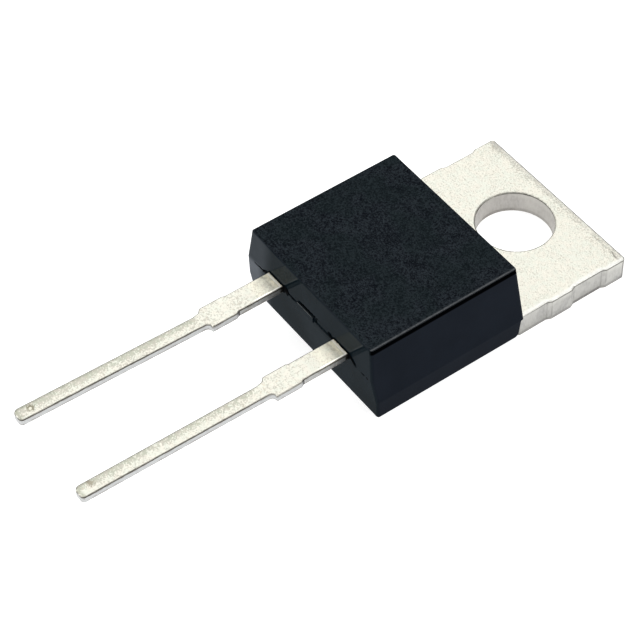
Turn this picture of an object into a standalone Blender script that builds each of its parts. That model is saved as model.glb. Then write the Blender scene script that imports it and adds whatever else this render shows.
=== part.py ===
# Two-lead rectifier diode in a flat power package, lying on the face of its heat tab.
# X runs across the package, Y from the lead tips to the screw hole, Z up from the mounting face.
# The origin is on the mounting face, at the middle of the overall width and length.
# The functions measure Y from the front, the plane where the leads leave the body.
# The empty that carries all the pieces moves them to the origin.

import math

import bmesh
import bpy
from mathutils import Matrix, Vector

MM = 0.001

# Overall reach from the front, to the tab's end and to the lead tips
TAB_REACH = 15.05 * MM
LEAD_REACH = 14.05 * MM

# Moulded body
BODY_HEIGHT = 4.53 * MM
BODY_WIDTH = 10.20 * MM  # at the level of the tab's upper face, where the sides part
BODY_LENGTH = 8.75 * MM  # at the same level
UPPER_SIDE_DRAFT = math.radians(8.1)
UPPER_FRONT_DRAFT = math.radians(3.7)
UPPER_BACK_DRAFT = math.radians(4.9)
LOWER_DRAFT = math.radians(6.4)
CORNER_RADIUS = 0.14 * MM
RIM_RADIUS = 0.07 * MM  # round the top face and the bottom
EAR_LENGTH = 8.55 * MM  # the lower half ends earlier than the upper one, beside the tab
EAR_CHAMFER = 0.20 * MM
GATE_WIDTH = 1.28 * MM
GATE_HEIGHT = 0.34 * MM
GATE_PROUD = 0.06 * MM
GATE_EDGE = 0.025 * MM
GATE_OFFSET = -0.20 * MM  # from the middle of the body
GATE_RISE = 0.04 * MM  # its lower edge above the parting plane
LIP_RISE = 0.22 * MM  # the lower front goes on this far above the parting plane between the leads
LIP_OVER = 0.42 * MM  # and this far past the outer sides of the leads
LIP_SLOPE = 0.18 * MM
LIP_PROUD = 0.002 * MM

# Tab and header, one thick plate
TAB_THICKNESS = 1.27 * MM
TAB_INSET = 0.04 * MM  # each side of the tab inside the body's
TAB_CORNER = 0.18 * MM
TAB_EDGE_ROLL = 0.07 * MM
TAB_EDGE_BELOW = 0.03 * MM
HOLE_DIAMETER = 3.88 * MM
HOLE_TO_TAB_END = 2.71 * MM
HOLE_STEPS = 64
SCALLOP_DEPTH = 0.11 * MM
SCALLOP_RAMP = 0.23 * MM
SCALLOP_ROUND = 0.15 * MM
END_LAND = 1.20 * MM
MIDDLE_LAND = 1.20 * MM
HEADER_INSET = 0.86 * MM  # each side of the header inside the tab's
HEADER_FRONT = 2.60 * MM
HEADER_CORNER = 0.50 * MM
SHOULDER_ROUND = 0.12 * MM
SHOULDER_RAKE = 0.06 * MM

# Leads, one thin gauge
LEAD_PITCH = 5.08 * MM
LEAD_THICKNESS = 0.38 * MM
LEAD_RISE = 2.68 * MM  # mounting face to the underside of the leads, also the parting plane
ROOT_WIDTH = 1.17 * MM
THIN_WIDTH = 0.75 * MM
STUB_START = 2.50 * MM  # what is left of the tie bar that joined the leads
STUB_END = 4.02 * MM
STUB_RIGHT = 0.09 * MM
STUB_LEFT = 0.06 * MM
STUB_RAMP = 0.16 * MM
STUB_ROUND = 0.07 * MM
NECK_ROUND = 0.22 * MM
NECK_TAPER = 0.42 * MM
NECK_SLOPE = 0.12 * MM
TIP_ROUND_LEFT = 0.28 * MM
TIP_ROUND_RIGHT = 0.18 * MM
LEAD_EDGE = 0.05 * MM
CATHODE_LIFT = math.radians(1.9)  # the thin parts are bent up a little at the neck
ANODE_LIFT = math.radians(0.8)
LIFT_START = 4.10 * MM
LIFT_BEND = 0.50 * MM

# Cathode lead inside the body, a bend down to the header
STRIP_SINK = 0.10 * MM  # its upper face below the header's
STRIP_LAP = 0.30 * MM
STRIP_LEVEL = 0.20 * MM
BEND_RADIUS = 0.45 * MM
BEND_ANGLE = math.radians(60)

# Anode lead inside the body, the bond pad
PAD_START = 0.75 * MM
PAD_LENGTH = 1.30 * MM
PAD_INNER = 1.80 * MM  # from the lead's axis towards the middle
PAD_OUTER = 1.36 * MM
PAD_CORNER = 0.20 * MM
PAD_FILLET = 0.10 * MM

# Chip, solder and wires
DIE_SIZE = 2.90 * MM
DIE_THICKNESS = 0.25 * MM
DIE_CENTRE = 5.20 * MM
SOLDER_THICKNESS = 0.05 * MM
SOLDER_FILLET = 0.12 * MM
WIRE_DIAMETER = 0.38 * MM
WIRE_PITCH = 1.10 * MM
WIRE_FOOT = 0.80 * MM
WIRE_HEEL = 0.25 * MM
FOOT_HEIGHT = 0.70  # share of the wire's height left where a foot is pressed flat
FOOT_WIDTH = 1.25  # and how much wider it is there
WIRE_LOOP = 0.75 * MM  # top of the loop above the bond pad
WIRE_PAD_INSET = 0.55 * MM  # from the pad's inner end to the first foot
WIRE_STEPS = 18

# Clearance between touching pieces, and how far cutters pass through
SEAT = 0.02 * MM
PASS = 0.60 * MM
WELD = 1e-7
ARC_STEP = math.radians(18)
SHARP = math.radians(40)
FLAT = math.radians(0.5)


def clear_scene():
    for item in list(bpy.data.objects):
        bpy.data.objects.remove(item, do_unlink=True)


def new_collection(name, parent):
    collection = bpy.data.collections.new(name)
    parent.children.link(collection)
    return collection


def new_material(name, colour, roughness, metallic):
    material = bpy.data.materials.new(name)
    material.use_nodes = True
    shader = material.node_tree.nodes["Principled BSDF"]
    shader.inputs["Base Color"].default_value = (*colour, 1.0)
    shader.inputs["Roughness"].default_value = roughness
    shader.inputs["Metallic"].default_value = metallic
    return material


def new_object(name, bm, collection):
    """Makes an object of a bmesh, with its faces pointing out."""
    bmesh.ops.recalc_face_normals(bm, faces=bm.faces)
    mesh = bpy.data.meshes.new(name)
    bm.to_mesh(mesh)
    bm.free()
    item = bpy.data.objects.new(name, mesh)
    collection.objects.link(item)
    return item


def hide_cutter(item):
    item.hide_render = True
    item.display_type = "WIRE"


def evaluated_mesh(item):
    bpy.context.view_layer.update()
    graph = bpy.context.evaluated_depsgraph_get()
    return bpy.data.meshes.new_from_object(item.evaluated_get(graph))


def curve_bmesh(curve, collection, place):
    """The welded mesh of a curve, moved to its place. The curve itself is removed."""
    guide = bpy.data.objects.new("guide", curve)
    collection.objects.link(guide)
    guide.matrix_world = place
    mesh = evaluated_mesh(guide)
    bpy.data.objects.remove(guide, do_unlink=True)
    bm = bmesh.new()
    bm.from_mesh(mesh)
    bpy.data.meshes.remove(mesh)
    bmesh.ops.remove_doubles(bm, verts=bm.verts, dist=WELD)
    bmesh.ops.transform(bm, matrix=place, verts=bm.verts)
    return bm


def flat_plate(loops, thickness, collection, place):
    """A plate from closed outlines, the first one outside and the others holes."""
    curve = bpy.data.curves.new("outline", "CURVE")
    curve.dimensions = "2D"
    curve.fill_mode = "BOTH"
    curve.extrude = thickness / 2
    for loop in loops:
        spline = curve.splines.new("POLY")
        spline.points.add(len(loop) - 1)
        for point, (x, y) in zip(spline.points, loop):
            point.co = (x, y, 0, 1)
        spline.use_cyclic_u = True
    bm = curve_bmesh(curve, collection, place)
    bmesh.ops.dissolve_limit(bm, angle_limit=FLAT, verts=bm.verts, edges=bm.edges)
    return bm


def rounded(corners):
    """Outline points of corners (x, y, radius), with each radius drawn as an arc."""
    points = []
    for i, (x, y, radius) in enumerate(corners):
        here = Vector((x, y))
        before = (Vector(corners[i - 1][:2]) - here).normalized()
        after = (Vector(corners[(i + 1) % len(corners)][:2]) - here).normalized()
        opening = before.angle(after)
        if radius == 0 or math.pi - opening < FLAT:
            points.append(here)
            continue
        leg = radius / math.tan(opening / 2)
        centre = here + (before + after).normalized() * radius / math.sin(opening / 2)
        start, end = here + before * leg - centre, here + after * leg - centre
        first = math.atan2(start.y, start.x)
        turn = math.remainder(math.atan2(end.y, end.x) - first, 2 * math.pi)
        steps = max(2, math.ceil(abs(turn) / ARC_STEP))
        for k in range(steps + 1):
            angle = first + turn * k / steps
            points.append(centre + radius * Vector((math.cos(angle), math.sin(angle))))
    return points


def widened(corners, room):
    """Corners of the same outline with the room added all round it."""
    turn = sum(a[0] * b[1] - b[0] * a[1] for a, b in zip(corners, corners[1:] + corners[:1]))
    way = math.copysign(1, turn)
    result = []
    for i, (x, y, radius) in enumerate(corners):
        here = Vector((x, y))
        arriving = (here - Vector(corners[i - 1][:2])).normalized()
        leaving = (Vector(corners[(i + 1) % len(corners)][:2]) - here).normalized()
        out_before = way * Vector((arriving.y, -arriving.x))
        out_after = way * Vector((leaving.y, -leaving.x))
        corner = here + (out_before + out_after) * room / (1 + out_before.dot(out_after))
        outward = way * arriving.cross(leaving) > 0
        change = room if outward else -room
        result.append((corner.x, corner.y, max(radius + change, 0.0) if radius else 0.0))
    return result


def circle(x, y, radius, steps):
    angles = [2 * math.pi * k / steps for k in range(steps)]
    return [(x + radius * math.cos(a), y + radius * math.sin(a)) for a in angles]


def add_bevel(item, width, segments, by_weight):
    bevel = item.modifiers.new("Edges", "BEVEL")
    bevel.width = width
    bevel.segments = segments
    bevel.limit_method = "WEIGHT" if by_weight else "ANGLE"
    bevel.angle_limit = SHARP
    bevel.use_clamp_overlap = False


def add_union(item, other):
    join = item.modifiers.new(other.name, "BOOLEAN")
    join.operation = "UNION"
    join.solver = "EXACT"
    join.object = other


def cut_rooms(item, rooms):
    """Cuts all the rooms out at once, because they overlap each other."""
    cut = item.modifiers.new(rooms.name, "BOOLEAN")
    cut.operation = "DIFFERENCE"
    cut.solver = "EXACT"
    cut.operand_type = "COLLECTION"
    cut.collection = rooms


def body_section(z):
    """Half width, front and back of the moulded body at height z."""
    over_tab = z - TAB_THICKNESS
    side_draft = UPPER_SIDE_DRAFT if over_tab > 0 else LOWER_DRAFT
    half = BODY_WIDTH / 2 - abs(over_tab) * math.tan(side_draft)
    over_leads = z - LEAD_RISE
    front_draft = UPPER_FRONT_DRAFT if over_leads > 0 else LOWER_DRAFT
    front = abs(over_leads) * math.tan(front_draft)
    back = BODY_LENGTH - max(0.0, over_tab) * math.tan(UPPER_BACK_DRAFT)
    return half, front, back


def body_block(collection):
    """The outer form: a block with draft, which parts at two levels."""
    bm = bmesh.new()
    bmesh.ops.create_cube(bm, size=1)
    for vertex in bm.verts:
        vertex.co.z = (vertex.co.z + 0.5) * BODY_HEIGHT
    for level in (TAB_THICKNESS, LEAD_RISE):
        geometry = bm.verts[:] + bm.edges[:] + bm.faces[:]
        plane = Vector((0, 0, level))
        bmesh.ops.bisect_plane(bm, geom=geometry, dist=WELD, plane_co=plane, plane_no=(0, 0, 1))
    for vertex in bm.verts:
        half, front, back = body_section(vertex.co.z)
        vertex.co.x = math.copysign(half, vertex.co.x)
        vertex.co.y = front if vertex.co.y < 0 else back
    weights = bm.edges.layers.float.new("bevel_weight_edge")
    for edge in bm.edges:
        low, high = sorted(v.co.z for v in edge.verts)
        if high - low > WELD:
            edge[weights] = 1.0
        elif low < WELD or high > BODY_HEIGHT - WELD:
            edge[weights] = RIM_RADIUS / CORNER_RADIUS
    body = new_object("moulded_body", bm, collection)
    add_bevel(body, CORNER_RADIUS, 3, True)
    return body


def gate_stub(collection):
    """What is left of the mould's gate, a low pad on the front between the leads."""
    bm = bmesh.new()
    bmesh.ops.create_cube(bm, size=1)
    depth = PASS + GATE_PROUD
    low = LEAD_RISE + GATE_RISE
    centre = Vector((GATE_OFFSET, depth / 2 - GATE_PROUD, low + GATE_HEIGHT / 2))
    size = Matrix.Diagonal((GATE_WIDTH, depth, GATE_HEIGHT, 1))
    bmesh.ops.transform(bm, matrix=Matrix.Translation(centre) @ size, verts=bm.verts)
    stub = new_object("gate_stub", bm, collection)
    add_bevel(stub, GATE_EDGE, 2, False)
    hide_cutter(stub)
    return stub


def front_lip(collection):
    """The lower half's front, which goes on above the parting plane between the leads."""
    slope = math.tan(LOWER_DRAFT)
    reach = LEAD_PITCH / 2 + ROOT_WIDTH / 2 + LIP_OVER
    bm = bmesh.new()
    bmesh.ops.create_cube(bm, size=1)
    for vertex in bm.verts:
        way = math.copysign(1, vertex.co.z)
        half = reach if way < 0 else reach - LIP_SLOPE
        front = -way * LIP_RISE * slope - LIP_PROUD
        vertex.co.x = math.copysign(half, vertex.co.x)
        vertex.co.y = front if vertex.co.y < 0 else PASS
        vertex.co.z = LEAD_RISE + way * LIP_RISE
    lip = new_object("front_lip", bm, collection)
    hide_cutter(lip)
    return lip


def back_step(collection):
    """The space behind the body's lower half, with the chamfer at the foot of its ears."""
    reach = BODY_LENGTH + PASS
    profile = [
        (EAR_LENGTH, TAB_THICKNESS),
        (EAR_LENGTH, EAR_CHAMFER),
        (EAR_LENGTH - EAR_CHAMFER - PASS, -PASS),
        (reach, -PASS),
        (reach, TAB_THICKNESS),
    ]
    across = Matrix(((0, 0, 1, 0), (1, 0, 0, 0), (0, 1, 0, 0), (0, 0, 0, 1)))
    bm = flat_plate([profile], BODY_WIDTH + 2 * PASS, collection, across)
    step = new_object("back_step", bm, collection)
    hide_cutter(step)
    return step


def tab_side(mirror):
    """Corners of one side of the tab and header, from the header's front to the tab's end.

    Two equal scallops are stamped in it: one starts at the shoulder, one between the lands.
    """
    full = BODY_WIDTH / 2 - TAB_INSET
    floor = full - SCALLOP_DEPTH
    header = full - HEADER_INSET
    shoulder = EAR_LENGTH + 2 * SEAT
    lands = END_LAND + MIDDLE_LAND + 3 * SCALLOP_RAMP
    scallop = (TAB_REACH - shoulder - lands) / 2
    upper_start = TAB_REACH - END_LAND
    upper_end = upper_start - 2 * SCALLOP_RAMP - scallop
    lower_start = upper_end - MIDDLE_LAND
    corners = [
        (header, HEADER_FRONT, HEADER_CORNER),
        (header, shoulder + SHOULDER_RAKE, SHOULDER_ROUND),
        (floor, shoulder, SHOULDER_ROUND),
        (floor, lower_start - SCALLOP_RAMP, SCALLOP_ROUND),
        (full, lower_start, SCALLOP_ROUND),
        (full, upper_end, SCALLOP_ROUND),
        (floor, upper_end + SCALLOP_RAMP, SCALLOP_ROUND),
        (floor, upper_start - SCALLOP_RAMP, SCALLOP_ROUND),
        (full, upper_start, SCALLOP_ROUND),
        (full, TAB_REACH, TAB_CORNER),
    ]
    return [(mirror * x, y, radius) for x, y, radius in corners]


def tab_outline():
    return tab_side(1) + tab_side(-1)[::-1]


def tab_plate(collection):
    """The thick plate with its screw hole, and with the stamped edges that show."""
    hole = circle(0, TAB_REACH - HOLE_TO_TAB_END, HOLE_DIAMETER / 2, HOLE_STEPS)
    place = Matrix.Translation((0, 0, TAB_THICKNESS / 2))
    bm = flat_plate([rounded(tab_outline()), hole], TAB_THICKNESS, collection, place)
    weights = bm.edges.layers.float.new("bevel_weight_edge")
    for edge in bm.edges:
        shows = min(v.co.y for v in edge.verts) > EAR_LENGTH + 2 * SEAT + SHOULDER_ROUND - WELD
        heights = [v.co.z for v in edge.verts]
        if not shows or edge.calc_face_angle() < SHARP:
            continue
        if min(heights) > TAB_THICKNESS - WELD:
            edge[weights] = 1.0
        elif max(heights) < WELD:
            edge[weights] = TAB_EDGE_BELOW / TAB_EDGE_ROLL
    plate = new_object("tab_and_cathode_lead", bm, collection)
    add_bevel(plate, TAB_EDGE_ROLL, 2, True)
    return plate


def tab_room(collection):
    """The room for the tab and header in the body."""
    place = Matrix.Translation((0, 0, TAB_THICKNESS / 2))
    outline = rounded(widened(tab_outline(), SEAT))
    bm = flat_plate([outline], TAB_THICKNESS + 2 * SEAT, collection, place)
    hide_cutter(new_object("tab_room", bm, collection))


def lead_corners(inner):
    """Corners of a lead's flat outline: its inner end, then out to the tip and back."""
    root = ROOT_WIDTH / 2
    thin = THIN_WIDTH / 2
    right = root + STUB_RIGHT
    left = -root - STUB_LEFT
    ramp_end = -STUB_START - STUB_RAMP
    return inner + [
        (root, -STUB_START, STUB_ROUND),
        (right, ramp_end, STUB_ROUND),
        (right, -STUB_END, 0),
        (thin, -STUB_END, NECK_ROUND),
        (thin, -LEAD_REACH, TIP_ROUND_RIGHT),
        (-thin, -LEAD_REACH, TIP_ROUND_LEFT),
        (-thin, -STUB_END - NECK_TAPER, NECK_ROUND),
        (-thin - STUB_ROUND, -STUB_END - NECK_SLOPE / 2, STUB_ROUND),
        (left, -STUB_END + NECK_SLOPE, STUB_ROUND),
        (left, ramp_end, STUB_ROUND),
        (-root, -STUB_START, STUB_ROUND),
    ]


def walk(distance, bends):
    """Run, rise and slope after a distance along a strip of (length, turn) stretches."""
    run = rise = slope = 0.0
    for length, turn in bends:
        step = min(distance, length)
        if turn:
            radius = length / turn
            after = slope + turn * step / length
            run += radius * (math.sin(after) - math.sin(slope))
            rise += radius * (math.cos(slope) - math.cos(after))
            slope = after
        else:
            run += step * math.cos(slope)
            rise += step * math.sin(slope)
        distance -= step
        if distance <= 0:
            break
    return run, rise, slope


def bend_stations(bends):
    """Distances where a bent strip needs an edge across it."""
    stations = []
    start = 0.0
    for length, turn in bends:
        steps = max(1, math.ceil(abs(turn) / ARC_STEP))
        stations += [start + length * k / steps for k in range(steps + 1)] if turn else []
        start += length
    return stations


def bent_strip(name, corners, axis, inner_bends, outer_bends, room, collection):
    """A flat strip along Y, bent inwards and outwards from the front, at its lead's axis."""
    outline = rounded(widened(corners, room))
    bm = flat_plate([outline], LEAD_THICKNESS + 2 * room, collection, Matrix())
    cuts = bend_stations(inner_bends) + [-s for s in bend_stations(outer_bends)]
    for station in cuts:
        geometry = bm.verts[:] + bm.edges[:] + bm.faces[:]
        plane = Vector((0, station, 0))
        bmesh.ops.bisect_plane(bm, geom=geometry, dist=WELD, plane_co=plane, plane_no=(0, 1, 0))
    for vertex in bm.verts:
        x, y, z = vertex.co
        way = math.copysign(1, y)
        run, rise, slope = walk(abs(y), inner_bends if y > 0 else outer_bends)
        vertex.co.x = x + axis
        vertex.co.y = way * (run - z * math.sin(slope))
        vertex.co.z = LEAD_RISE + LEAD_THICKNESS / 2 + rise + z * math.cos(slope)
    strip = new_object(name, bm, collection)
    add_bevel(strip, LEAD_EDGE, 2, False)
    return strip


def lift_bends(lift):
    """The slight upward bend at the neck of a lead."""
    return [(LIFT_START, 0), (LIFT_BEND, lift), (LEAD_REACH, 0)]


def cathode_strip(name, room, collection):
    """The cathode lead and the bend that brings it down to the header."""
    drop = LEAD_RISE + LEAD_THICKNESS + STRIP_SINK - TAB_THICKNESS
    arc = BEND_RADIUS * BEND_ANGLE
    slope = drop - 2 * BEND_RADIUS * (1 - math.cos(BEND_ANGLE))
    slope /= math.sin(BEND_ANGLE)
    run = 2 * BEND_RADIUS * math.sin(BEND_ANGLE) + slope * math.cos(BEND_ANGLE)
    level = HEADER_FRONT - STRIP_LEVEL - run
    bends = [(level, 0), (arc, -BEND_ANGLE), (slope, 0), (arc, BEND_ANGLE), (TAB_REACH, 0)]
    end = level + 2 * arc + slope + STRIP_LEVEL + STRIP_LAP
    inner = [(-ROOT_WIDTH / 2, end, 0), (ROOT_WIDTH / 2, end, 0)]
    lift = lift_bends(CATHODE_LIFT)
    corners = lead_corners(inner)
    strip = bent_strip(name, corners, -LEAD_PITCH / 2, bends, lift, room, collection)
    hide_cutter(strip)
    return strip


def anode_lead(name, room, collection):
    """The anode lead, which stays at its own level and ends in the bond pad."""
    root = ROOT_WIDTH / 2
    end = PAD_START + PAD_LENGTH
    inner = [
        (-root, PAD_START, PAD_FILLET),
        (-PAD_INNER, PAD_START, PAD_CORNER),
        (-PAD_INNER, end, PAD_CORNER),
        (PAD_OUTER, end, PAD_CORNER),
        (PAD_OUTER, PAD_START, PAD_CORNER),
        (root, PAD_START, PAD_FILLET),
    ]
    corners = lead_corners(inner)
    level = [(TAB_REACH, 0)]
    lift = lift_bends(ANODE_LIFT)
    return bent_strip(name, corners, LEAD_PITCH / 2, level, lift, room, collection)


def box(name, width, thickness, base, inset, room, collection):
    """A square block over the middle of the die's place, its upper face drawn in by inset."""
    bm = bmesh.new()
    bmesh.ops.create_cube(bm, size=1)
    for vertex in bm.verts:
        side = width + 2 * room - (2 * inset if vertex.co.z > 0 else 0)
        vertex.co.x *= side
        vertex.co.y = DIE_CENTRE + vertex.co.y * side
        vertex.co.z = base - room + (vertex.co.z + 0.5) * (thickness + 2 * room)
    return new_object(name, bm, collection)


def wire_path(start, end, loop_top):
    """Points of a bond wire: a foot, a loop in one upright plane, and the other foot."""
    along = (end - start).to_2d()
    reach = along.length
    along = (along / reach).to_3d()
    rise_at = start + along * WIRE_FOOT
    land_at = end - along * WIRE_FOOT
    crest = loop_top + (loop_top - end.z) / 2
    first = Vector((*(rise_at + along * WIRE_HEEL).to_2d(), crest))
    second = Vector((*(land_at - along * WIRE_FOOT).to_2d(), crest))
    points = [start, start + along * WIRE_FOOT / 2]
    for k in range(WIRE_STEPS + 1):
        t = k / WIRE_STEPS
        blend = [(1 - t) ** 3, 3 * t * (1 - t) ** 2, 3 * t * t * (1 - t), t**3]
        knots = [rise_at, first, second, land_at]
        points.append(sum((knot * b for knot, b in zip(knots, blend)), Vector()))
    points += [end - along * WIRE_FOOT / 2, end]
    return points, along, reach


def press_feet(bm, start, end, along, reach):
    """Flattens both ends of a wire on their seats, as a bonding tool does."""
    side = Vector((-along.y, along.x, 0))
    for vertex in bm.verts:
        travel = (vertex.co - start).dot(along)
        near = min(travel, reach - travel)
        seat = (start if travel < reach / 2 else end).z - WIRE_DIAMETER / 2
        loose = min(max((near - WIRE_FOOT) / WIRE_HEEL, 0.0), 1.0)
        height = FOOT_HEIGHT + (1 - FOOT_HEIGHT) * loose
        width = FOOT_WIDTH + (1 - FOOT_WIDTH) * loose
        vertex.co.z = seat + (vertex.co.z - seat) * height
        vertex.co += side * (vertex.co - start).dot(side) * (width - 1)


def bond_wire(name, step, die_top, room, collection):
    """One wire from the top of the die to the anode lead's pad, a step across from the first."""
    pad_top = LEAD_RISE + LEAD_THICKNESS
    radius = WIRE_DIAMETER / 2
    foot_y = PAD_START + PAD_LENGTH / 2
    pad_x = LEAD_PITCH / 2 - PAD_INNER + WIRE_PAD_INSET + step
    on_die = Vector((step - WIRE_PITCH / 2, DIE_CENTRE, die_top + SEAT + radius))
    on_pad = Vector((pad_x, foot_y, pad_top + SEAT + radius))
    flat = (on_pad - on_die).to_2d().normalized().to_3d() * WIRE_FOOT / 2
    start, end = on_die - flat, on_pad + flat
    points, along, reach = wire_path(start, end, pad_top + WIRE_LOOP)
    curve = bpy.data.curves.new("wire", "CURVE")
    curve.dimensions = "3D"
    curve.bevel_depth = radius + room / FOOT_HEIGHT
    curve.bevel_resolution = 3
    curve.use_fill_caps = True
    spline = curve.splines.new("POLY")
    spline.points.add(len(points) - 1)
    points[0] -= along * room
    points[-1] += along * room
    for point, place in zip(spline.points, points):
        point.co = (*place, 1)
    bm = curve_bmesh(curve, collection, Matrix())
    press_feet(bm, start, end, along, reach)
    return new_object(name, bm, collection)


def dress(item, material, smooth):
    item.data.materials.clear()
    item.data.materials.append(material)
    if smooth:
        item.data.shade_smooth()
        item.data.set_sharp_from_angle(angle=SHARP)


def main():
    clear_scene()
    parts = new_collection("rectifier_diode", bpy.context.scene.collection)
    cutters = new_collection("cutters", bpy.context.scene.collection)
    rooms = new_collection("rooms", cutters)
    epoxy = new_material("black epoxy", (0.016, 0.019, 0.022), 0.42, 0.0)
    tin = new_material("tinned copper", (0.80, 0.78, 0.73), 0.34, 1.0)
    silicon = new_material("silicon", (0.10, 0.11, 0.13), 0.25, 0.6)
    solder = new_material("solder", (0.45, 0.45, 0.46), 0.40, 1.0)
    aluminium = new_material("aluminium wire", (0.86, 0.86, 0.87), 0.30, 1.0)

    solder_base = TAB_THICKNESS + SEAT
    die_base = solder_base + SOLDER_THICKNESS + SEAT
    die_top = die_base + DIE_THICKNESS
    solder_width = DIE_SIZE + 2 * SOLDER_FILLET

    frame = tab_plate(parts)
    add_union(frame, cathode_strip("cathode_strip", 0, cutters))
    anode = anode_lead("anode_lead", 0, parts)
    layer = box("die_solder", solder_width, SOLDER_THICKNESS, solder_base, SOLDER_FILLET, 0, parts)
    die = box("silicon_die", DIE_SIZE, DIE_THICKNESS, die_base, 0, 0, parts)
    wires = [bond_wire(f"bond_wire_{n + 1}", n * WIRE_PITCH, die_top, 0, parts) for n in range(2)]

    tab_room(rooms)
    cathode_strip("cathode_room", SEAT, rooms)
    hide_cutter(anode_lead("anode_room", SEAT, rooms))
    hide_cutter(box("solder_room", solder_width, SOLDER_THICKNESS, solder_base, 0, SEAT, rooms))
    hide_cutter(box("die_room", DIE_SIZE, DIE_THICKNESS, die_base, 0, SEAT, rooms))
    for n in range(2):
        hide_cutter(bond_wire(f"wire_room_{n + 1}", n * WIRE_PITCH, die_top, SEAT, rooms))
    back_step(rooms)

    body = body_block(parts)
    add_union(body, front_lip(cutters))
    add_union(body, gate_stub(cutters))
    cut_rooms(body, rooms)

    dress(body, epoxy, True)
    dress(frame, tin, True)
    dress(anode, tin, True)
    dress(layer, solder, False)
    dress(die, silicon, False)
    for wire in wires:
        dress(wire, aluminium, True)

    datum = bpy.data.objects.new("datum", None)
    parts.objects.link(datum)
    datum.location.y = (LEAD_REACH - TAB_REACH) / 2
    for item in list(parts.objects) + list(cutters.all_objects):
        if item is not datum:
            item.parent = datum


main()
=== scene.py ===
# Looks of the two-lead rectifier diode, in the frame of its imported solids.
# X runs across the package, Y from the lead tips to the screw hole, Z up from the mounting face.

import math

import bmesh
import bpy
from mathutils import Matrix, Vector, noise


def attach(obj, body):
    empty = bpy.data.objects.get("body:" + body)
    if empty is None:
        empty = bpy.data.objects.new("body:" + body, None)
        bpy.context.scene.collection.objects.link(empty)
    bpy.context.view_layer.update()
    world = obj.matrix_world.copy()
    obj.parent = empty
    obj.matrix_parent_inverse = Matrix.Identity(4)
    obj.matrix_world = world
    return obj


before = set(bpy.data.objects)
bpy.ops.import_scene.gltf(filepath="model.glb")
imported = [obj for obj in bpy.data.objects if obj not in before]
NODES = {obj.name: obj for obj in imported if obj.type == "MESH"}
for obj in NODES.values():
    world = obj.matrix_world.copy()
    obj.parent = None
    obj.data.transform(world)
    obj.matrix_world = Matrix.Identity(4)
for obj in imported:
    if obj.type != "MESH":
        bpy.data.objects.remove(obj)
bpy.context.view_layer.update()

MM = 0.001

# Places on the package, in millimetres
FRONT = -0.5  # the plane where the leads leave the body
PARTING = 2.68  # height of the leads' undersides, where the front parts beside the leads
LIP = 2.90  # and where it parts between them
LEAD_TOP = 3.06
ROOT_HALF_WIDTH = 0.585
CATHODE_AXIS, ANODE_AXIS = -2.54, 2.54
LIFT_START = -4.85  # from here to their tips the leads rise
HOLE_CENTRE = (0.0, 11.84)
PAST_THE_HOLE = 2.0  # a radius just beyond the hole's wall

# Where the lands between the scallops of the tab's sides begin and end, in Y
MIDDLE_LAND = (9.775, 10.005, 11.205, 11.435)
END_LAND = (13.12, 13.35)

# Slope of the front above the lip and below the parting plane
UPPER_DRAFT, LOWER_DRAFT = 0.065, 0.112

# Pits and flash at the parting line on the front, painted black as their shade, and a painted shadow
# above the gate: centre in X and Z, reach, turn
FRONT_PITS_AND_SHADOWS = (
    ((-1.55, 2.93), (0.12, 0.05), -0.6),
    ((-1.22, 2.92), (0.16, 0.035), 0.0),
    # A painted shadow above the gate
    ((-0.06, 3.135), (0.68, 0.060), 0.03),
    ((0.60, 3.02), (0.12, 0.05), -0.5),
    ((4.20, 2.66), (0.13, 0.045), 0.0),
    ((4.52, 2.67), (0.08, 0.040), 0.0),
    ((-3.70, 2.71), (0.35, 0.05), 0.0),
    ((-4.10, 2.68), (0.22, 0.035), 0.0),
)

# Torn flash beside each lead, coloured black as painted shade of the recesses there: the lead's axis,
# then centre in X and Z, reach, turn, seed
FLAKES = {
    "flash_and_gap_shade_at_cathode_lead": (CATHODE_AXIS, (
        ((-1.84, 2.97), (0.24, 0.17), -0.5, 11),
        ((-1.66, 2.84), (0.06, 0.16), 0.3, 12),
        ((-1.90, 2.80), (0.05, 0.12), 0.0, 13),
        ((-3.42, 2.80), (0.30, 0.11), 0.5, 14),
    )),
    "flash_and_gap_shade_at_anode_lead": (ANODE_AXIS, (
        ((3.20, 2.93), (0.12, 0.15), 0.0, 21),
        ((3.46, 2.86), (0.34, 0.060), -0.62, 22),
        ((1.74, 2.99), (0.26, 0.065), -0.45, 23),
    )),
}

# Colours. Where a name holds two, the material goes from the one to the other.
TOP_BLACKS = (0.0, 0.0015, 0.005), (0.032, 0.040, 0.047)
TOP_CLOUD = (0.010, 0.020, 0.020)
SIDE_BLACKS = (0.0042, 0.0085, 0.0165), (0.0062, 0.0110, 0.0200)
FRONT_BLACKS = (0.003, 0.011, 0.016), (0.007, 0.016, 0.023)
PAINTED_GLOW = (0.150, 0.165, 0.185)
PAINTED_RIM_HIGHLIGHT = (0.090, 0.095, 0.10)
BLACK = (0.0, 0.0, 0.0)
FILLER_AND_HIGHLIGHT = (0.145, 0.150, 0.150)
FLASH_SHADE_BLACKS = (0.0, 0.0, 0.001), (0.006, 0.007, 0.008)

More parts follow.
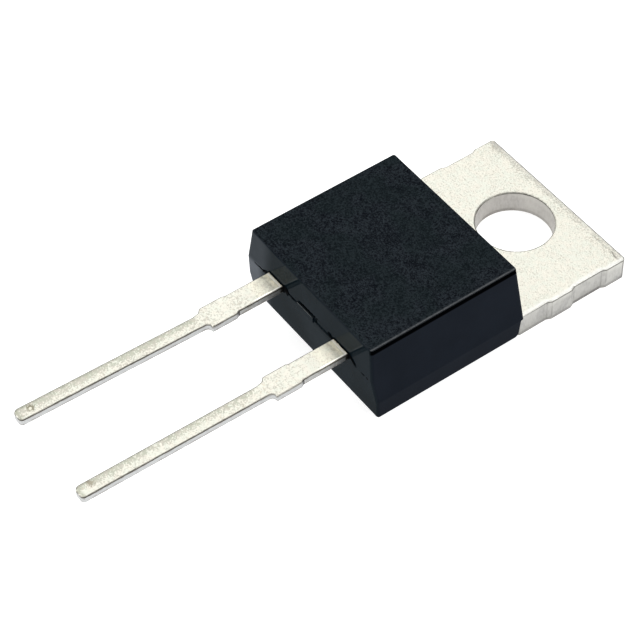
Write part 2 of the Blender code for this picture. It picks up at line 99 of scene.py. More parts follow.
TINS = (0.580, 0.565, 0.510), (0.560, 0.565, 0.512)
GREY, OLIVE, BROWN = (0.365, 0.350, 0.31), (0.31, 0.32, 0.26), (0.24, 0.20, 0.15)
DULL_TIN, PAINTED_CREASE_SHADE, RUST = (0.36, 0.36, 0.355), (0.20, 0.19, 0.17), (0.50, 0.40, 0.30)
TANNED, NEAR_BODY_PAINTED_LIGHT = (0.36, 0.35, 0.28), (0.95, 0.90, 0.73)
BRIGHT_LINE, PAINTED_ROOT_HIGHLIGHT = (0.95, 0.92, 0.84), (0.96, 0.95, 0.88)
PAINTED_TAB_HIGHLIGHT = (0.62, 0.62, 0.59)
RING, RING_CENTRE = (0.20, 0.185, 0.135), (0.60, 0.59, 0.50)
SHEARED = (0.420, 0.415, 0.40), (0.500, 0.495, 0.48)
TAB_SHEARED, PALE_SHEARED = (0.56, 0.555, 0.53), (0.64, 0.635, 0.60)
DARK_SHEARED, SIDE_SHADE = (0.38, 0.375, 0.35), (0.16, 0.155, 0.15)
BORES = (0.49, 0.46, 0.425), (0.55, 0.52, 0.49)
LEAD_SHEARED, LEAD_MIDDLE = (0.41, 0.40, 0.40), (0.58, 0.59, 0.59)
FRACTURE, NOTCH_SHADE = (0.26, 0.245, 0.21), (0.04, 0.035, 0.03)
TORN_EDGE, SHADED = (0.12, 0.11, 0.10), (0.03, 0.028, 0.02)
ROLLED_EDGE_SHADE = (0.24, 0.235, 0.21), (0.52, 0.51, 0.47)
RIGHT_EDGE_SHADE, LEFT_EDGE_SHADE = (0.05, 0.042, 0.03), (0.17, 0.165, 0.15)
TAB_EDGE_SHADE_AND_HIGHLIGHT = (0.27, 0.265, 0.245), (0.85, 0.85, 0.82)


class Nodes:
    """A material's node tree, with short ways to add and join nodes. Lengths are in millimetres."""

    def __init__(self, name):
        self.material = bpy.data.materials.new(name)
        self.material.use_nodes = True
        self.tree = self.material.node_tree
        self.shader = self.tree.nodes["Principled BSDF"]
        scale = self.new("ShaderNodeVectorMath", operation="SCALE")
        self.tree.links.new(self.new("ShaderNodeTexCoord").outputs["Object"], scale.inputs[0])
        scale.inputs["Scale"].default_value = 1 / MM
        self.place = scale.outputs[0]
        self.x, self.y, self.z = self.split(self.place)
        geometry = self.new("ShaderNodeNewGeometry")
        self.nx, self.ny, self.nz = self.split(geometry.outputs["Normal"])

    def new(self, kind, **settings):
        node = self.tree.nodes.new(kind)
        for key, value in settings.items():
            setattr(node, key, value)
        return node

    def put(self, socket, value):
        if isinstance(value, bpy.types.NodeSocket):
            self.tree.links.new(value, socket)
        else:
            socket.default_value = value

    def set(self, name, value):
        """Give one of the shader's own sockets a value or a link."""
        self.put(self.shader.inputs[name], value)

    def math(self, operation, *values):
        node = self.new("ShaderNodeMath", operation=operation)
        for socket, value in zip(node.inputs, values):
            self.put(socket, value)
        return node.outputs[0]

    def add(self, a, b):
        return self.math("ADD", a, b)

    def minus(self, a, b):
        return self.math("SUBTRACT", a, b)

    def times(self, first, *others):
        for other in others:
            first = self.math("MULTIPLY", first, other)
        return first

    def most(self, first, *others):
        for other in others:
            first = self.math("MAXIMUM", first, other)
        return first

    def absolute(self, a):
        return self.math("ABSOLUTE", a)

    def less(self, a):
        """What is left of 1."""
        return self.minus(1.0, a)

    def noise(self, size, detail=3.0, rough=0.5, stretch=(1, 1, 1), offset=(0, 0, 0)):
        """Noise from 0 to 1, with features of about this size."""
        mapping = self.new("ShaderNodeMapping")
        mapping.inputs["Scale"].default_value = stretch
        mapping.inputs["Location"].default_value = offset
        self.put(mapping.inputs["Vector"], self.place)
        node = self.new("ShaderNodeTexNoise")
        node.inputs["Scale"].default_value = 1 / size
        node.inputs["Detail"].default_value = detail
        node.inputs["Roughness"].default_value = rough
        self.put(node.inputs["Vector"], mapping.outputs[0])
        return node.outputs["Fac"]

    def ramp(self, value, low, high, out_low=0.0, out_high=1.0):
        """Smooth change of a value between two limits."""
        node = self.new("ShaderNodeMapRange", interpolation_type="SMOOTHSTEP")
        limits = {"From Min": low, "From Max": high, "To Min": out_low, "To Max": out_high}
        for key, number in limits.items():
            self.put(node.inputs[key], number)
        self.put(node.inputs["Value"], value)
        return node.outputs[0]

    def window(self, value, start, full, hold, end):
        """Rises from 0 at start to 1 at full, and falls from hold to 0 at end."""
        return self.times(self.ramp(value, start, full), self.ramp(value, hold, end, 1.0, 0.0))

    def mix(self, share, first, second):
        """From the first colour to the second as the share goes from 0 to 1."""
        node = self.new("ShaderNodeMix", data_type="RGBA")
        self.put(node.inputs[0], share)
        for index, colour in ((6, first), (7, second)):
            self.put(node.inputs[index], (*colour, 1.0) if isinstance(colour, tuple) else colour)
        return node.outputs[2]

    def blend(self, share, first, second):
        """From the first number to the second as the share goes from 0 to 1."""
        node = self.new("ShaderNodeMix", data_type="FLOAT")
        for index, value in ((0, share), (2, first), (3, second)):
            self.put(node.inputs[index], value)
        return node.outputs[0]

    def split(self, vector):
        node = self.new("ShaderNodeSeparateXYZ")
        self.put(node.inputs[0], vector)
        return node.outputs

    def spot(self, across, up, centre, reach, turn=0.0, wobble=0.0, size=0.12):
        """1 inside an uneven oval on a plane, 0 outside it."""
        c, s = math.cos(turn), math.sin(turn)
        a, b = self.minus(across, centre[0]), self.minus(up, centre[1])
        along = self.add(self.times(a, c / reach[0]), self.times(b, s / reach[0]))
        over = self.add(self.times(a, -s / reach[1]), self.times(b, c / reach[1]))
        far = self.math("SQRT", self.add(self.times(along, along), self.times(over, over)))
        far = self.add(far, self.ramp(self.noise(size, 3.0, 0.6), 0.3, 0.7, -wobble, wobble))
        return self.ramp(far, 0.8, 1.1, 1.0, 0.0)

    def bump(self, height, depth):
        """A bump of this depth for a height from 0 to 1."""
        node = self.new("ShaderNodeBump")
        node.inputs["Distance"].default_value = depth * MM
        self.put(node.inputs["Height"], height)
        return node.outputs[0]


def epoxy_material():
    """Black filled epoxy: fine matte top, polished sides."""
    m = Nodes("black_epoxy")
    top = m.ramp(m.absolute(m.nz), 0.75, 0.97)
    front = m.ramp(m.ny, -0.6, -0.8)
    grain = m.noise(0.088, 3.0, 0.95)
    pits = m.noise(0.20, 2.0, 0.5, offset=(7.3, 2.2, 0.9))
    cloud = m.noise(1.7, 3.0, 0.55, offset=(3.1, 1.7, 0.4))
    mottle = m.noise(0.55, 3.0, 0.6, offset=(6.6, 3.9, 1.2))

    # Painted light: the top is painted a little lighter towards its front right corner
    painted_light_gradient = m.ramp(m.minus(m.x, m.y), -1.0, 4.5, 0.0, 0.020)
    grade = m.add(m.add(grain, m.ramp(mottle, 0.3, 0.7, -0.018, 0.018)), painted_light_gradient)
    top_colour = m.mix(m.ramp(grade, 0.405, 0.595), *TOP_BLACKS)
    top_colour = m.mix(m.ramp(cloud, 0.40, 0.62, 0.0, 0.35), top_colour, TOP_CLOUD)
    cloudy = m.ramp(cloud, 0.3, 0.7)
    side_colour = m.mix(front, m.mix(cloudy, *SIDE_BLACKS), m.mix(cloudy, *FRONT_BLACKS))

    # Painted reflection on the front: a pale glow left of the cathode lead, and a faint one low
    # between the leads
    above = m.ramp(m.z, 2.4, 2.9)
    left = m.ramp(m.add(m.x, m.times(above, -0.5)), -3.3, -4.3)
    painted_glow = m.times(front, left, m.blend(above, 1.0, 0.30))
    low_painted_glow = m.times(front, m.window(m.x, -1.8, 0.4, 1.2, 2.0), m.less(above), 0.09)
    painted_glow = m.times(m.most(painted_glow, low_painted_glow), m.ramp(cloud, 0.2, 0.8, 0.7, 1.0))
    side_colour = m.mix(painted_glow, side_colour, PAINTED_GLOW)

    # At the sides and the back a black line is painted just below the top, as painted shade, and the
    # polish stops there.
    # Above that line the right rim is glossier and carries a painted highlight, and the front rim
    # shines a little less than the front.
    aside = m.most(m.ramp(m.absolute(m.nx), 0.2, 0.4), m.ramp(m.ny, 0.2, 0.4))
    # Painted shade: a black line along the top of the sides and the back
    line = m.times(aside, m.ramp(m.z, 4.25, 4.30), m.ramp(m.nz, 0.69, 0.81, 0.94, 0.0))
    rubbed = m.times(m.window(m.nz, 0.75, 0.86, 0.965, 0.99), m.ramp(m.nx, 0.1, 0.3))
    # Painted highlight on the top along the right rim
    painted_rim_highlight = m.times(m.window(m.x, 4.49, 4.54, 4.58, 4.61), m.ramp(m.nz, 0.78, 0.88))
    painted_rim_highlight = m.times(painted_rim_highlight, m.ramp(m.z, 4.40, 4.48), m.ramp(pits, 0.3, 0.6, 0.55, 0.9))
    brow = m.times(m.ramp(m.z, 4.43, 4.49), m.less(top), m.ramp(m.ny, -0.1, -0.3))

    spots = (m.spot(m.x, m.z, centre, reach, turn, 0.45) for centre, reach, turn in FRONT_PITS_AND_SHADOWS)
    # Painted shade: the pits and the gate's shadow are painted black
    pits_and_shade = m.times(front, m.most(*spots))
    dull = m.most(line, pits_and_shade)

    # The broken gate shows the pale filler along its upper edge, and that lighter colour is also a
    # painted highlight
    gate = m.times(m.window(m.x, -0.90, -0.80, 0.36, 0.46), m.ramp(m.y, -0.525, -0.54))
    filler_and_highlight = m.times(gate, m.ramp(m.nz, 0.25, 0.45), m.ramp(pits, 0.30, 0.5, 0.35, 1.0))

    colour = m.mix(top, side_colour, top_colour)
    # Painted highlight along the right rim
    colour = m.mix(painted_rim_highlight, colour, PAINTED_RIM_HIGHLIGHT)
    # Painted shade: the line below the top, the pits and the gate's shadow are painted black
    colour = m.mix(dull, colour, BLACK)
    m.set("Base Color", m.mix(filler_and_highlight, colour, FILLER_AND_HIGHLIGHT))
    m.set("Roughness", m.ramp(grain, 0.2, 0.8, 0.50, 0.64))
    m.set("Specular IOR Level", 0.0)

    # The polish is a coat, thinner on the faces that lean downwards
    polish = m.ramp(m.nz, -0.08, 0.03, 0.19, m.blend(front, 0.25, 0.29))
    gloss = m.blend(rubbed, m.blend(top, polish, 0.09), 1.0)
    gloss = m.times(gloss, m.less(dull), m.less(filler_and_highlight), m.less(m.times(brow, 0.2)))
    m.set("Coat Weight", gloss)
    m.set("Coat Roughness", 0.05)
    height = m.times(m.add(grain, m.times(pits, 0.6)), m.blend(top, 0.02, 1.0))
    relief = m.bump(m.minus(height, pits_and_shade), 0.02)
    m.set("Normal", relief)
    m.set("Coat Normal", relief)
    return m.material


class Tin(Nodes):
    """Dull tin over stamped copper, with what its colours have in common.

    Axis and slope are those of the lead. Bare is added where its dark grains are spread, and
    the last argument says how dark the fracture on the cut sides of its wide part is, and the painted
    shade on the right edges of its stubs.
    """

    def __init__(self, name, axis, slope, bare, fracture_and_edge_shade):
        super().__init__(name)
        self.bare, self.fracture_and_edge_shade = bare, fracture_and_edge_shade
        self.u = self.minus(self.x, axis)
        level = self.absolute(self.nz)
        self.flat, self.steep = self.ramp(level, 0.93, 0.995), self.ramp(level, 0.12, 0.30, 1.0, 0.0)
        self.edge = self.times(self.less(self.flat), self.less(self.steep))
        self.lead = self.ramp(self.y, -0.3, -0.5)
        self.tab = self.less(self.lead)
        self.land = self.most(self.window(self.y, *MIDDLE_LAND), self.ramp(self.y, *END_LAND))
        self.thin = self.ramp(self.y, -4.6, -5.3)  # past the neck
        self.root = self.ramp(self.y, -3.06, -2.96)  # between the stubs and the body

        self.speck = self.noise(0.074, 2.0, 0.6)
        self.blot = self.noise(0.15, 3.0, 0.6, offset=(2.7, 9.1, 0.3))
        self.ragged = self.noise(0.16, 3.0, 0.65, stretch=(1, 0.30, 1), offset=(5.5, 0.7, 3.3))
        self.tint = self.noise(0.28, 2.0, 0.5, offset=(8.2, 4.4, 1.7))
        self.patch = self.noise(0.9, 4.0, 0.6, offset=(1.3, 0.2, 5.1))
        self.streak = self.noise(0.10, 3.0, 0.6, stretch=(1, 1, 0.35))
        self.tone = self.noise(0.9, 2.0, 0.5, offset=(4.0, 6.1, 2.2))

        # Height above the mounting face, as if the lead were level, with an uneven border
        drop = self.times(self.most(self.minus(LIFT_START, self.y), 0.0), slope)
        border = self.ramp(self.ragged, 0.3, 0.7, -0.07, 0.07)
        self.height = self.add(self.minus(self.z, drop), border)

        # Painted light: the tin close to the body is painted lighter, and made less metallic there
        near, nearest = self.ramp(self.y, -2.1, -1.5, 0.0, 0.34), self.ramp(self.y, -1.05, -0.72)
        blotched = self.ramp(self.blot, 0.35, 0.60, 1.0, 0.7)
        self.close = self.times(self.most(near, nearest), self.lead, self.flat, blotched)


def grained_tin(m):
    """Tin with dark grains, and the marks of wear all over it."""
    colour = m.mix(m.ramp(m.tint, 0.35, 0.65), *TINS)

    # How thickly the dark grains lie: more on the rolled-over left of the thin part, where the
    # punch entered, at the tips and along the far end of the tab.
    wander = m.add(m.u, m.ramp(m.blot, 0.25, 0.75, -0.12, 0.12))
    band = m.times(m.thin, m.ramp(wander, 0.12, -0.10))
    left_corner, fold = m.ramp(m.x, -3.8, -4.5), m.ramp(m.x, 2.5, 3.3)
    far_end = m.add(m.y, m.ramp(m.patch, 0.3, 0.7, -0.12, 0.12))
    far_end = m.ramp(far_end, 13.85, 14.35, 0.0, m.blend(left_corner, 0.09, 0.15))
    uneven = m.times(m.ramp(m.patch, 0.35, 0.65, -0.05, 0.06), m.blend(m.lead, 0.4, 1.0))
    dense = m.add(m.add(m.times(band, 0.17), far_end), uneven)
    dense = m.add(dense, m.times(m.lead, m.ramp(m.blot, 0.35, 0.65, -0.03, 0.08)))
    dense = m.add(m.add(dense, m.bare), m.times(m.tab, m.ramp(m.x, -1.0, 2.5, 0.0, -0.02)))
    grains = m.ramp(m.add(m.speck, dense), 0.54, 0.66)
    depth = m.add(m.blend(m.lead, 0.60, 0.62), m.times(far_end, 1.6))
    grain_colour = m.mix(m.times(band, m.ramp(m.tint, 0.3, 0.6)), GREY, OLIVE)
    colour = m.mix(m.times(grains, depth), colour, grain_colour)

    # The far end of the tab has a duller band, darker in places, and painted shade along a crease on
    # its right half.
    dented = m.add(m.y, m.ramp(m.blot, 0.3, 0.7, -0.035, 0.035))
    far_end_dull_band = m.most(m.times(left_corner, 0.38), m.times(m.less(fold), 0.12))
    far_end_dull_band = m.times(m.most(far_end_dull_band, m.ramp(m.x, 4.3, 4.7, 0.0, 0.25)), m.ramp(dented, 14.18, 14.34))
    colour = m.mix(m.most(far_end_dull_band, m.ramp(dented, 14.36, 14.46, 0.0, 0.30)), colour, DULL_TIN)
    bent = m.add(dented, m.ramp(m.x, 4.2, 4.7, 0.0, 0.07))
    deep = m.add(m.blend(fold, 0.12, 0.35), m.ramp(m.x, 4.1, 4.4, 0.0, 0.40))
    crease_shade = m.times(m.window(bent, 14.20, 14.26, 14.29, 14.35), m.ramp(m.tint, 0.36, 0.54), deep)
    colour = m.mix(crease_shade, colour, PAINTED_CREASE_SHADE)

    # A little rust, most of it at the necks, and painted shade in olive along the rounded left edge
    # of the thin parts.
    neck = m.window(m.y, -5.2, -4.8, -4.5, -4.1)
    rust = m.ramp(m.add(m.blot, m.times(neck, m.lead, 0.08)), 0.60, 0.70)
    colour = m.mix(m.times(rust, m.ramp(m.tint, 0.45, 0.56), 0.30), colour, RUST)
    left_edge_shade = m.times(m.ramp(m.u, -0.14, -0.30), m.ramp(m.y, -13.5, -13.9))
    left_edge_shade = m.times(m.lead, m.thin, m.flat, m.most(m.ramp(m.u, -0.29, -0.34), left_edge_shade))
    return m.mix(m.times(left_edge_shade, m.ramp(m.blot, 0.3, 0.6, 0.15, 0.5)), colour, OLIVE)


def lead_roots(m, colour):
    """Tanned tin where the leads leave the mould, painted light on the tin close to the body, and a
    painted highlight along the right edge of the roots.
    """
    tan = m.times(m.window(m.y, -1.05, -0.90, -0.70, -0.60), m.ramp(m.blot, 0.40, 0.60))
    colour = m.mix(m.times(tan, m.flat, 0.55), colour, TANNED)
    # Painted light on the tin close to the body
    colour = m.mix(m.times(m.close, 0.85), colour, NEAR_BODY_PAINTED_LIGHT)
    line = m.times(m.lead, m.flat, m.window(m.y, -0.67, -0.64, -0.58, -0.55))
    colour = m.mix(m.times(line, m.ramp(m.blot, 0.25, 0.5, 0.4, 1.0)), colour, BRIGHT_LINE)
    # Painted highlight along the right edge of the roots
    bright = m.times(m.window(m.u, 0.44, 0.48, 0.53, 0.56), m.window(m.y, -2.3, -1.7, -0.65, -0.58))
    return m.mix(bright, colour, PAINTED_ROOT_HIGHLIGHT)


def tab_edge_highlight(m, colour):
    """A painted highlight, near white, along the outline of the tab's right edge."""
    inset = m.minus(m.x, m.times(m.land, 0.11))
    white = m.times(m.tab, m.ramp(inset, 4.65, 4.83), m.ramp(m.tint, 0.3, 0.6, 0.75, 1.0))
    return m.mix(white, colour, PAINTED_TAB_HIGHLIGHT)


def tip_marks(m, colour, rings, smudges):
    """Marks that the cut-off die left at the tips, and painted shade along the rounded tip ends."""
    for centre, size in rings:
        inside = m.spot(m.x, m.y, centre, (size * 0.42, size * 0.42), 0.5, 0.15, 0.07)
        around = m.spot(m.x, m.y, centre, (size, size * 1.1), 0.5, 0.30, 0.07)
        slant = m.minus(m.y, m.times(m.u, 0.6))
        open_side = m.ramp(slant, centre[1] - 0.10, centre[1] + 0.02, 0.6, 1.0)
        colour = m.mix(m.times(around, m.less(inside), open_side, 0.85), colour, RING)
        colour = m.mix(m.times(inside, 0.6), colour, RING_CENTRE)
    for centre, reach in smudges:
        mark = m.spot(m.x, m.y, centre, reach, 0.4, 0.6, 0.09)
        colour = m.mix(m.times(mark, m.flat, 0.5), colour, BROWN)
    # Painted shade along the rounded tip ends
    tip_end_shade = m.times(m.ramp(m.y, -14.25, -14.42), m.ramp(m.blot, 0.3, 0.6, 0.4, 1.0))
    return m.mix(m.times(tip_end_shade, 0.6), colour, OLIVE)


def sheared_tab(m, sheared):
    """The tab's cut sides: lighter above, darker below, with painted shade at the scallop corners and
    the far end and a painted contact shadow along the foot. Then the hole's.
    """
    sheared = m.mix(m.times(m.tab, m.ramp(m.tone, 0.40, 0.60), 0.6), sheared, TAB_SHEARED)
    upper = m.times(m.tab, m.ramp(m.z, 0.80, 1.10), m.blend(m.land, 0.15, 0.50))
    sheared = m.mix(upper, sheared, PALE_SHEARED)
    lower = m.times(m.tab, m.ramp(m.z, 0.70, 0.30), m.less(m.land), 0.25)
    sheared = m.mix(lower, sheared, DARK_SHEARED)
    corner_land = m.times(m.ramp(m.y, 13.35, 13.50), m.ramp(m.z, 0.25, 0.55), 0.35)
    sheared = m.mix(corner_land, sheared, PALE_SHEARED)

    # Painted shade at the scallop corners and the far end, and a painted contact shadow along the
    # foot
    corners = (
        m.window(m.y, y - 0.05, y - 0.015, y + 0.015, y + 0.05) for y in MIDDLE_LAND + END_LAND)
    corner = m.times(m.most(*corners), m.ramp(m.absolute(m.x), 4.4, 4.7))
    end = m.times(m.window(m.y, 14.33, 14.37, 14.40, 14.44), m.ramp(m.blot, 0.3, 0.45))
    contact_shadow = m.times(m.ramp(m.z, 0.27, 0.14), m.ramp(m.blot, 0.35, 0.55, 0.6, 1.0))
    contact_shadow = m.times(contact_shadow, m.blend(m.window(m.y, 11.3, 11.5, 13.0, 13.2), 0.45, 0.80))
    painted_side_shade = m.most(m.times(corner, m.ramp(m.tint, 0.35, 0.6, 0.10, 0.30)), m.times(end, 0.7), contact_shadow)
    sheared = m.mix(m.times(m.tab, painted_side_shade), sheared, SIDE_SHADE)
    bore = m.spot(m.x, m.y, HOLE_CENTRE, (PAST_THE_HOLE, PAST_THE_HOLE))
    return m.mix(bore, sheared, m.mix(m.streak, *BORES))


def sheared_lead(m, sheared):
    """The leads' cut sides: a burnished middle on the thin parts, a dark fracture near the body, and
    painted shade in the notch where the stubs begin.
    """
    middle = m.window(m.height, 2.74, 2.80, 2.94, 3.01)
    sheared = m.mix(m.times(m.lead, m.blend(m.root, 0.7, 0.0)), sheared, LEAD_SHEARED)
    sheared = m.mix(m.times(m.lead, middle, m.blend(m.root, 0.85, 0.40)), sheared, LEAD_MIDDLE)
    at_stub = m.ramp(m.blot, 0.50, 0.62, 0.0, 0.35)
    at_root = m.ramp(m.blot, 0.35, 0.65, 0.45, 0.85)
    fracture = m.times(m.less(m.thin), m.less(middle), m.blend(m.root, at_stub, at_root))
    sheared = m.mix(m.times(m.lead, fracture, m.fracture_and_edge_shade), sheared, FRACTURE)
    # Painted shade in the notch where the stubs begin
    notch_shade = m.times(m.window(m.y, -3.04, -3.01, -2.98, -2.95), m.ramp(m.nx, 0.5, 0.7))
    return m.mix(notch_shade, sheared, NOTCH_SHADE)


def cut_sides(m, colour):
    """Sheared sides, with torn lower edges on the leads and shade where they enter the body."""
    sheared = m.mix(m.ramp(m.streak, 0.35, 0.65), *SHEARED)
    colour = m.mix(m.steep, colour, sheared_lead(m, sheared_tab(m, sheared)))
    torn = m.times(m.lead, m.ramp(m.height, 2.72, 2.69), m.ramp(m.ragged, 0.48, 0.60))
    colour = m.mix(m.times(m.steep, torn, 0.7), colour, TORN_EDGE)
    entry = m.times(m.ramp(m.y, -0.72, -0.60), m.ramp(m.blot, 0.3, 0.5, 0.7, 1.0))
    return m.mix(m.times(m.lead, m.steep, entry), colour, SHADED)


def rolled_edges(m, colour):
    """Rounded edges with painted shade: darker on the roll, a dark painted line along the leads'
    right edges, grey on their left edges, and a painted highlight over painted shade along the right
    of the tab.
    """
    # Painted shade on the rounded edges
    rolled_shade = m.mix(m.ramp(m.ragged, 0.40, 0.60), *ROLLED_EDGE_SHADE)
    colour = m.mix(m.times(m.edge, m.blend(m.lead, 0.55, 0.9)), colour, rolled_shade)
    # Painted shade: a dark line along the leads' right edges
    right = m.times(m.edge, m.lead, m.ramp(m.nx, 0.30, 0.55), m.ramp(m.nz, 0.20, 0.40))
    stub = m.times(m.less(m.thin), m.less(m.root))
    stub_edge_shade = m.times(m.ramp(m.ragged, 0.45, 0.55), m.fracture_and_edge_shade)
    right_edge_shade = m.blend(stub, m.ramp(m.ragged, 0.30, 0.50, 0.30, 0.9), stub_edge_shade)
    colour = m.mix(m.times(right, right_edge_shade), colour, RIGHT_EDGE_SHADE)
    # Painted highlight over painted shade on the right edge of the tab
    tab_edge_light_and_shade = m.times(m.edge, m.tab, m.ramp(m.nx, 0.25, 0.45), m.ramp(m.z, 1.0, 1.1))
    tab_edge_light_and_shade = m.times(tab_edge_light_and_shade, m.ramp(m.x, 4.4, 4.7))
    colour = m.mix(tab_edge_light_and_shade, colour, m.mix(m.ramp(m.nz, 0.38, 0.52), *TAB_EDGE_SHADE_AND_HIGHLIGHT))
    # Painted shade on the left edges
    left = m.most(m.times(m.lead, m.ramp(m.nx, -0.15, -0.45)), m.ramp(m.ny, 0.15, 0.45))
    left = m.times(m.edge, left, m.ramp(m.blot, 0.3, 0.6, 0.4, 0.9))
    return m.mix(left, colour, LEFT_EDGE_SHADE)


def tin_material(m, rings, smudges):
    """Rings and smudges are the marks near the lead's tip: centre in X and Y, and size."""
    colour = lead_roots(m, grained_tin(m))
    colour = tip_marks(m, tab_edge_highlight(m, colour), rings, smudges)
    m.set("Base Color", rolled_edges(m, cut_sides(m, colour)))
    # Less metallic where painted light is added close to the body
    m.set("Metallic", m.blend(m.close, 1.0, 0.36))
    m.set("Roughness", m.ramp(m.speck, 0.3, 0.7, 0.34, 0.44))
    relief = m.add(m.times(m.speck, 0.9), m.times(m.blot, 0.8))
    roll = m.times(m.thin, m.ramp(m.u, -0.37, -0.20, -1.6, 0.0))
    m.set("Normal", m.bump(m.add(relief, roll), 0.012))
    return m.material


def plain_material(name, colour, metallic, rough):
    """A quiet finish for the sealed pieces, which nothing shows."""
    m = Nodes(name)
    shade = m.noise(0.3, 3.0)
    dark = tuple(0.7 * c for c in colour)
    m.set("Base Color", m.mix(m.ramp(shade, 0.3, 0.7), dark, colour))
    m.set("Metallic", metallic)
    m.set("Roughness", m.ramp(shade, 0.3, 0.7, rough, rough + 0.12))
    return m.material


def flash_material():
    """Torn epoxy, black and dull; the black also stands for shade in the gap and the recesses at the
    leads, as painted shade.
    """
    m = Nodes("torn_epoxy_and_shade")
    grain = m.noise(0.05, 3.0, 0.7)
    m.set("Base Color", m.mix(m.ramp(grain, 0.35, 0.65), *FLASH_SHADE_BLACKS))
    m.set("Roughness", m.ramp(grain, 0.3, 0.7, 0.6, 0.85))
    m.set("Specular IOR Level", 0.05)
    m.set("Normal", m.bump(grain, 0.02))
    return m.material


def jitter(seed, place, low, high, size=0.12):
    """An uneven number between two limits, the same on each run."""
    value = 0.5 + 0.9 * noise.noise(Vector((place / size, seed * 7.31, 0.37)))
    return low + (high - low) * min(max(value, 0.0), 1.0)


def new_piece(name, bm, material):
    bmesh.ops.recalc_face_normals(bm, faces=bm.faces)
    mesh = bpy.data.meshes.new(name)
    bm.to_mesh(mesh)
    bm.free()
    mesh.materials.append(material)
    item = bpy.data.objects.new(name, mesh)
    bpy.context.scene.collection.objects.link(item)
    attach(item, "root")
    return item


def add_loft(bm, rings):
    """A closed skin over cross-sections that have the same number of points."""
    rows = [[bm.verts.new(Vector(p) * MM) for p in ring] for ring in rings]
    count = len(rows[0])
    for one, two in zip(rows, rows[1:]):
        for i in range(count):
            j = (i + 1) % count
            bm.faces.new((one[i], one[j], two[j], two[i]))
    bm.faces.new(rows[0])
    bm.faces.new(reversed(rows[-1]))


def collar_path(steps_up, steps_over):
    """Points across and up round a lead's left side, top and right side, and the way out there."""
    half, low = ROOT_HALF_WIDTH, PARTING + 0.04
    rise = LEAD_TOP - low
    path = [(-half, low + rise * i / steps_up, -1, 0) for i in range(steps_up)]
    path += [(-half + 2 * half * i / steps_over, LEAD_TOP, 0, 1) for i in range(steps_over + 1)]
    path += [(half, LEAD_TOP - rise * i / steps_up, 1, 0) for i in range(1, steps_up + 1)]
    for i, right in ((steps_up, -0.7), (steps_up + steps_over, 0.7)):
        path[i] = (*path[i][:2], right, 0.7)
    return path


def add_collar(bm, axis, seed):
    """The thin black lip of epoxy that climbs a little way out along a lead, round its top and sides.
    It stands in for the dark gap between lead and body: painted shade.
    """
    path = collar_path(8, 44)
    rings, gone = [], 0.0
    for i, (u, z, right, up) in enumerate(path):
        if i:
            gone += math.hypot(u - path[i - 1][0], z - path[i - 1][1])
        thick = jitter(seed, gone, 0.010, 0.030)
        reach = jitter(seed + 3, gone, 0.012, 0.045)
        profile = (
            (-0.02, 0.05),  # inside the lead and the body
            (thick * 1.5, 0.05),
            (thick * 1.2, -0.2 * reach),
            (thick * 0.5, -0.75 * reach),
            (-0.02, -reach),
        )
        rings.append([(axis + u + out * right, FRONT + y, z + out * up) for out, y in profile])
    add_loft(bm, rings)


def add_flake(bm, centre, reach, turn, seed, proud=0.035, points=28):
    """A torn scab of epoxy on the front, thickest at its middle. Its black is also painted shade of
    the recesses beside the leads.
    """
    c, s = math.cos(turn), math.sin(turn)
    rings = []
    for out, share in ((-0.03, 1.0), (proud * 0.4, 0.96), (proud, 0.55)):
        ring = []
        for i in range(points):
            angle = math.tau * i / points
            wave = share * jitter(seed, math.cos(angle) + 1.7 * math.sin(angle), 0.45, 1.25, 0.35)
            a, b = reach[0] * wave * math.cos(angle), reach[1] * wave * math.sin(angle)
            x, z = centre[0] + a * c - b * s, centre[1] + a * s + b * c
            lean = UPPER_DRAFT * max(0.0, z - LIP) + LOWER_DRAFT * max(0.0, PARTING - z)
            ring.append((x, FRONT + lean - out, z))
        rings.append(ring)
    add_loft(bm, rings)


def add_flash(material):
    for seed, (name, (axis, flakes)) in enumerate(FLAKES.items(), 1):
        bm = bmesh.new()
        add_collar(bm, axis, seed)
        for flake in flakes:
            add_flake(bm, *flake)
        new_piece(name, bm, material)


def assign(node, material):
    NODES[node].data.materials.clear()
    NODES[node].data.materials.append(material)


def floor():
    bpy.ops.mesh.primitive_plane_add(size=1.2, location=(0, 0, -0.02 * MM))
    plane = bpy.context.object
    plane.name = "floor"
    m = Nodes("paper_floor")
    m.set("Base Color", m.mix(m.noise(30, 2.0), (0.41, 0.41, 0.41), (0.43, 0.43, 0.43)))
    m.set("Roughness", 0.9)
    m.set("Specular IOR Level", 0.1)
    m.set("Emission Color", (1.0, 1.0, 1.0, 1.0))
    m.set("Emission Strength", 0.76)
    plane.data.materials.append(m.material)


def studio():
    """A light tent: even white above, dim at the horizon."""
    world = bpy.data.worlds.new("studio")
    bpy.context.scene.world = world
    world.use_nodes = True
    nodes, links = world.node_tree.nodes, world.node_tree.links
    direction = nodes.new("ShaderNodeTexCoord").outputs["Generated"]
    height = nodes.new("ShaderNodeSeparateXYZ")
    links.new(direction, height.inputs[0])
    glow = nodes.new("ShaderNodeMapRange")
    glow.interpolation_type = "SMOOTHSTEP"
    limits = {"From Min": 0.06, "From Max": 0.30, "To Min": 0.25, "To Max": 0.92}
    for key, number in limits.items():
        glow.inputs[key].default_value = number
    links.new(height.outputs[2], glow.inputs["Value"])
    links.new(glow.outputs[0], nodes["Background"].inputs["Strength"])
    nodes["Background"].inputs["Color"].default_value = (1.0, 1.0, 1.0, 1.0)


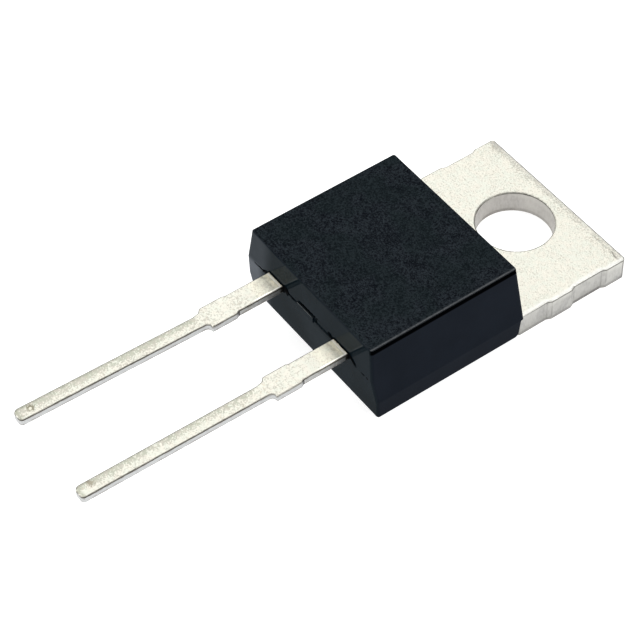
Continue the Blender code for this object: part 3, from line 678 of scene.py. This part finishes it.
def area_light(name, place, size, power):
    """A rectangular light, turned to the middle of the package. Place and size are in metres."""
    data = bpy.data.lights.new(name, "AREA")
    data.shape = "RECTANGLE"
    data.size, data.size_y = size
    data.energy = power
    light = bpy.data.objects.new(name, data)
    bpy.context.scene.collection.objects.link(light)
    light.location = place
    light.rotation_euler = (-Vector(place)).to_track_quat("-Z", "Y").to_euler()


def camera():
    """The photograph's viewpoint, fitted to the package's known sizes."""
    data = bpy.data.cameras.new("camera")
    data.sensor_width = 36.0
    data.lens = 129.781
    data.clip_start = 0.005
    data.clip_end = 5.0
    item = bpy.data.objects.new("camera", data)
    bpy.context.scene.collection.objects.link(item)
    item.location = (57.1625 * MM, -40.0143 * MM, 82.9312 * MM)
    item.rotation_euler = tuple(math.radians(a) for a in (40.81642, 0.80270, 53.97029))
    bpy.context.scene.camera = item


def main():
    assign("moulded_body", epoxy_material())
    tin = Tin("tin_on_tab_and_cathode", CATHODE_AXIS, slope=0.0332, bare=0.0, fracture_and_edge_shade=0.9)
    assign("tab_and_cathode_lead", tin_material(tin, [((-2.565, -13.79), 0.19)], []))
    tin = Tin("tin_on_anode", ANODE_AXIS, slope=0.0140, bare=-0.03, fracture_and_edge_shade=0.45)
    assign("anode_lead", tin_material(tin, [], [((2.40, -13.80), (0.20, 0.14))]))
    assign("silicon_die", plain_material("silicon", (0.10, 0.11, 0.13), 0.6, 0.2))
    assign("die_solder", plain_material("solder", (0.45, 0.45, 0.46), 1.0, 0.35))
    wire = plain_material("aluminium_wire", (0.86, 0.86, 0.87), 1.0, 0.25)
    assign("bond_wire_1", wire)
    assign("bond_wire_2", wire)
    add_flash(flash_material())
    floor()
    studio()
    area_light("key", (-0.179, 0.125, 0.260), (0.26, 0.26), 0.24)
    area_light("fill", (-0.181, -0.158, 0.240), (0.24, 0.24), 0.42)
    area_light("edge", (0.20, 0.11, 0.17), (0.08, 0.24), 0.30)
    camera()
    bpy.context.scene.view_settings.view_transform = "Standard"
    bpy.context.scene.view_settings.gamma = 0.8


main()
